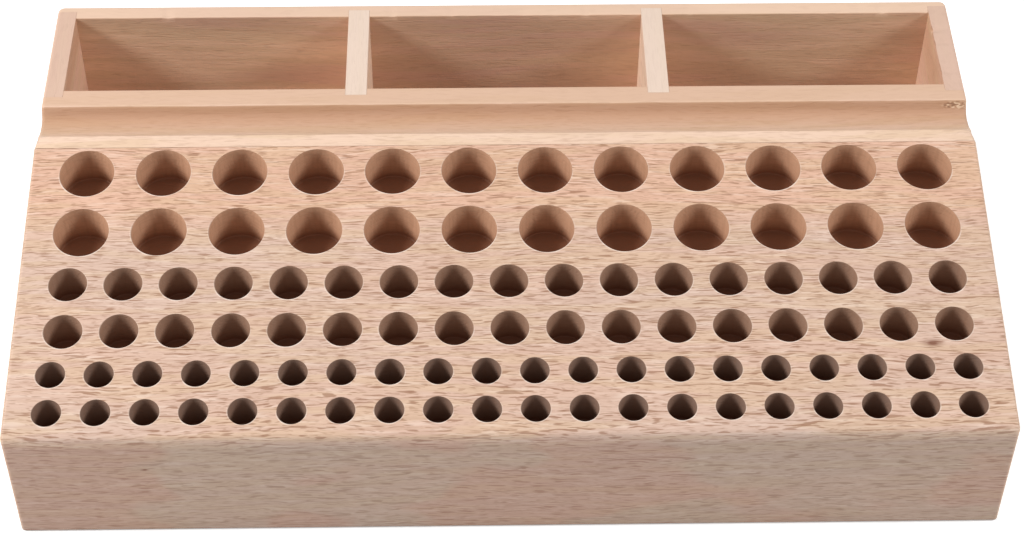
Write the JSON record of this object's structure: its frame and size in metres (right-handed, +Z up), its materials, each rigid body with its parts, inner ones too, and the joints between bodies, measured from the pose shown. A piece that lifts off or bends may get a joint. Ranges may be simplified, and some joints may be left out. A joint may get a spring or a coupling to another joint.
{
  "type": "tool holder block",
  "caption": "Free-standing wooden tool holder: a sloping beech block drilled with rows of blind holes of graded sizes, with a groove and a divided open tray behind it.",
  "frame": {"origin": "middle of the underside, on the bench", "axes": "+Z up, +X to the right along the block as seen from the front, +Y from the front face towards the tray"},
  "size_m": [0.2496, 0.143, 0.053],
  "materials": {
    "beech": "bare, planed and lightly sanded"
  },
  "bodies": {
    "root": {"drilled_block": "beech", "grooved_board": "beech", "rear_wall": "beech", "end_wall_left": "beech", "end_wall_right": "beech", "divider_left": "beech", "divider_right": "beech", "tray_floor": "beech"}
  },
  "joints": []
}
